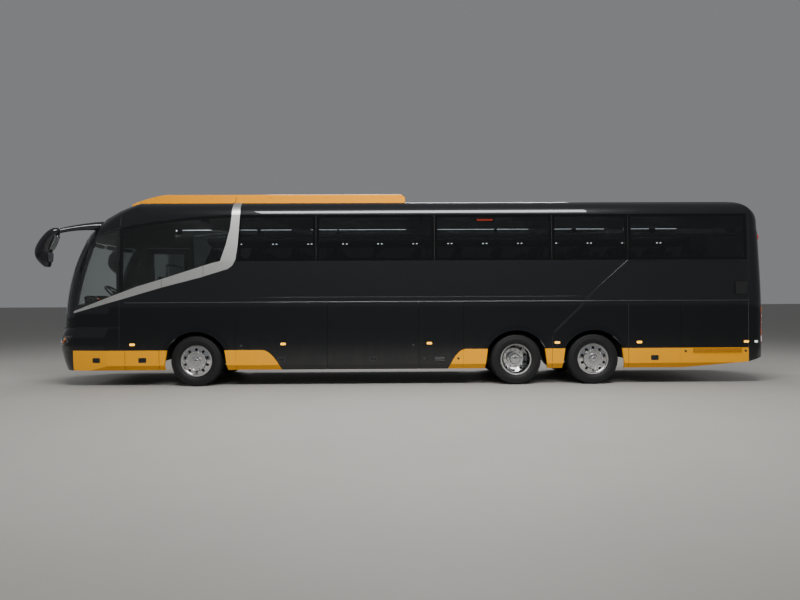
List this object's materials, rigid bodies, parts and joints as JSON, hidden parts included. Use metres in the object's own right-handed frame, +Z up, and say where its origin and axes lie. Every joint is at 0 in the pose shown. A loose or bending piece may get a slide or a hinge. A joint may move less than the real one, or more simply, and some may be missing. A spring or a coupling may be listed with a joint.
{
  "type": "coach bus",
  "caption": "Three-axle touring coach with hollow saloon, steered and driven wheels, plug doors, luggage bay flaps, engine lid and roof hatches.",
  "frame": {"origin": "centre of the footprint on the ground", "axes": "+X forward, +Y to the vehicle's left, +Z up"},
  "size_m": [14.083, 3.1868, 3.8],
  "materials": {
    "body_black": "gloss, deep black with a cool cast",
    "fairing_yellow": "gloss, orange yellow",
    "brushed_silver": "brushed lengthwise",
    "rail_aluminium": "anodised satin",
    "tinted_glass": "dark tint",
    "lamp_clear": "clear lens",
    "lamp_red": "moulded lens",
    "lamp_amber": "moulded lens",
    "mirror_shell": "gloss",
    "cab_plastic": "grained",
    "rack_plastic": "fine grain",
    "seat_fabric": "moquette",
    "floor_covering": "flecked sheet",
    "frame_paint": "satin chassis paint",
    "axle_paint": "painted casting",
    "engine_cast": "casting",
    "liner_plastic": "matt",
    "arm_steel": "satin",
    "tyre_rubber": "matt rubber",
    "polished_alloy": "polished"
  },
  "bodies": {
    "chassis": {"underframe": "frame_paint", "passenger_deck": "floor_covering", "side_wall_left": "body_black", "side_wall_right": "body_black", "roof_shell": "body_black", "front_mask": "body_black", "rear_wall": "body_black", "windscreen": "tinted_glass", "window_panes": "tinted_glass", "rear_window": "tinted_glass", "roof_fairing": "fairing_yellow", "window_sashes": "brushed_silver", "headlamps": "lamp_clear", "tail_lamps": "lamp_red", "marker_lamps": "lamp_amber", "mirrors": "mirror_shell", "dashboard": "cab_plastic", "seats": "seat_fabric", "luggage_racks": "rack_plastic", "engine_block": "engine_cast", "steered_axle_beams": "axle_paint", "drive_axle": "axle_paint", "wheel_housings": "liner_plastic", "waist_rails": "rail_aluminium", "wipers": "cab_plastic"},
    "knuckle_front_left": {"knuckle_front_left": "axle_paint"},
    "wheel_front_left": {"tyre_front_left": "tyre_rubber", "rim_front_left": "polished_alloy"},
    "knuckle_front_right": {"knuckle_front_right": "axle_paint"},
    "wheel_front_right": {"tyre_front_right": "tyre_rubber", "rim_front_right": "polished_alloy"},
    "knuckle_tag_left": {"knuckle_tag_left": "axle_paint"},
    "wheel_tag_left": {"tyre_tag_left": "tyre_rubber", "rim_tag_left": "polished_alloy"},
    "knuckle_tag_right": {"knuckle_tag_right": "axle_paint"},
    "wheel_tag_right": {"tyre_tag_right": "tyre_rubber", "rim_tag_right": "polished_alloy"},
    "wheel_drive_left": {"tyre_drive_left": "tyre_rubber", "rim_drive_left": "polished_alloy"},
    "wheel_drive_right": {"tyre_drive_right": "tyre_rubber", "rim_drive_right": "polished_alloy"},
    "bay_door_left_front": {"bay_door_left_front": "body_black"},
    "bay_door_left_rear": {"bay_door_left_rear": "body_black"},
    "service_door_left": {"service_door_left": "body_black"},
    "engine_side_door_left": {"engine_side_door_left": "body_black"},
    "bay_door_right_front": {"bay_door_right_front": "body_black"},
    "bay_door_right_rear": {"bay_door_right_rear": "body_black"},
    "engine_side_door_right": {"engine_side_door_right": "body_black"},
    "engine_lid": {"engine_lid": "body_black"},
    "roof_hatch_1": {"roof_hatch_1": "body_black"},
    "roof_hatch_2": {"roof_hatch_2": "body_black"},
    "entry_door_arm": {"entry_door_arm": "arm_steel"},
    "entry_door_leaf": {"entry_door_leaf": "body_black", "entry_door_glass": "tinted_glass"},
    "mid_door_arm": {"mid_door_arm": "arm_steel"},
    "mid_door_leaf": {"mid_door_leaf": "body_black", "mid_door_glass": "tinted_glass"}
  },
  "joints": [
    {"name": "steer_front_left", "type": "hinge", "parent": "chassis", "child": "knuckle_front_left", "pos_m": [4.105, 1.01, 0.49], "axis": [0, 0, 1], "range_deg": [-40, 40]},
    {"name": "spin_front_left", "type": "hinge", "parent": "knuckle_front_left", "child": "wheel_front_left", "pos_m": [4.105, 1.09, 0.49], "axis": [0, 1, 0], "continuous": true},
    {"name": "steer_front_right", "type": "hinge", "parent": "chassis", "child": "knuckle_front_right", "pos_m": [4.105, -1.01, 0.49], "axis": [0, 0, 1], "range_deg": [-40, 40]},
    {"name": "spin_front_right", "type": "hinge", "parent": "knuckle_front_right", "child": "wheel_front_right", "pos_m": [4.105, -1.09, 0.49], "axis": [0, 1, 0], "continuous": true},
    {"name": "steer_tag_left", "type": "hinge", "parent": "chassis", "child": "knuckle_tag_left", "pos_m": [-3.575, 1.01, 0.49], "axis": [0, 0, 1], "range_deg": [-10, 10]},
    {"name": "spin_tag_left", "type": "hinge", "parent": "knuckle_tag_left", "child": "wheel_tag_left", "pos_m": [-3.575, 1.09, 0.49], "axis": [0, 1, 0], "continuous": true},
    {"name": "steer_tag_right", "type": "hinge", "parent": "chassis", "child": "knuckle_tag_right", "pos_m": [-3.575, -1.01, 0.49], "axis": [0, 0, 1], "range_deg": [-10, 10]},
    {"name": "spin_tag_right", "type": "hinge", "parent": "knuckle_tag_right", "child": "wheel_tag_right", "pos_m": [-3.575, -1.09, 0.49], "axis": [0, 1, 0], "continuous": true},
    {"name": "spin_drive_left", "type": "hinge", "parent": "chassis", "child": "wheel_drive_left", "pos_m": [-2.075, 0.925, 0.49], "axis": [0, 1, 0], "continuous": true},
    {"name": "spin_drive_right", "type": "hinge", "parent": "chassis", "child": "wheel_drive_right", "pos_m": [-2.075, -0.925, 0.49], "axis": [0, 1, 0], "continuous": true},
    {"name": "bay_door_left_front_hinge", "type": "hinge", "parent": "chassis", "child": "bay_door_left_front", "pos_m": [2.457, 1.275, 1.604], "axis": [1, 0, 0], "range_deg": [0, 85]},
    {"name": "bay_door_left_rear_hinge", "type": "hinge", "parent": "chassis", "child": "bay_door_left_rear", "pos_m": [0.6945, 1.275, 1.604], "axis": [1, 0, 0], "range_deg": [0, 85]},
    {"name": "service_door_left_hinge", "type": "hinge", "parent": "chassis", "child": "service_door_left", "pos_m": [-0.6205, 1.275, 1.604], "axis": [1, 0, 0], "range_deg": [0, 85]},
    {"name": "engine_side_door_left_hinge", "type": "hinge", "parent": "chassis", "child": "engine_side_door_left", "pos_m": [-5.9295, 1.275, 1.604], "axis": [1, 0, 0], "range_deg": [0, 85]},
    {"name": "bay_door_right_front_hinge", "type": "hinge", "parent": "chassis", "child": "bay_door_right_front", "pos_m": [2.457, -1.275, 1.604], "axis": [-1, 0, 0], "range_deg": [0, 85]},
    {"name": "bay_door_right_rear_hinge", "type": "hinge", "parent": "chassis", "child": "bay_door_right_rear", "pos_m": [0.6945, -1.275, 1.604], "axis": [-1, 0, 0], "range_deg": [0, 85]},
    {"name": "engine_side_door_right_hinge", "type": "hinge", "parent": "chassis", "child": "engine_side_door_right", "pos_m": [-5.9295, -1.275, 1.604], "axis": [-1, 0, 0], "range_deg": [0, 85]},
    {"name": "engine_lid_hinge", "type": "hinge", "parent": "chassis", "child": "engine_lid", "pos_m": [-7.02058, 0, 1.96], "axis": [0, 1, 0], "range_deg": [0, 75]},
    {"name": "roof_hatch_1_hinge", "type": "hinge", "parent": "chassis", "child": "roof_hatch_1", "pos_m": [-1.29, 0, 3.6123], "axis": [0, 1, 0], "range_deg": [0, 60]},
    {"name": "roof_hatch_2_hinge", "type": "hinge", "parent": "chassis", "child": "roof_hatch_2", "pos_m": [-4.89, 0, 3.6123], "axis": [0, 1, 0], "range_deg": [0, 60]},
    {"name": "entry_door_swing", "type": "hinge", "parent": "chassis", "child": "entry_door_arm", "pos_m": [5.11, -1.145, 1.2], "axis": [0, 0, -1], "range_deg": [0, 150]},
    {"name": "entry_door_level", "type": "hinge", "parent": "entry_door_arm", "child": "entry_door_leaf", "pos_m": [5.53895, -1.115, 1.2], "axis": [0, 0, -1], "range_deg": [-150, 0]},
    {"name": "mid_door_swing", "type": "hinge", "parent": "chassis", "child": "mid_door_arm", "pos_m": [-1.265, -1.145, 1.2], "axis": [0, 0, -1], "range_deg": [0, 150]},
    {"name": "mid_door_level", "type": "hinge", "parent": "mid_door_arm", "child": "mid_door_leaf", "pos_m": [-0.83605, -1.115, 1.2], "axis": [0, 0, -1], "range_deg": [-150, 0]}
  ],
  "couplings": [
    {"joint": "steer_front_right", "follows": "steer_front_left", "ratio": 1},
    {"joint": "steer_tag_left", "follows": "steer_front_left", "ratio": -0.24},
    {"joint": "steer_tag_right", "follows": "steer_front_left", "ratio": -0.24},
    {"joint": "entry_door_level", "follows": "entry_door_swing", "ratio": -1},
    {"joint": "mid_door_level", "follows": "mid_door_swing", "ratio": -1}
  ]
}
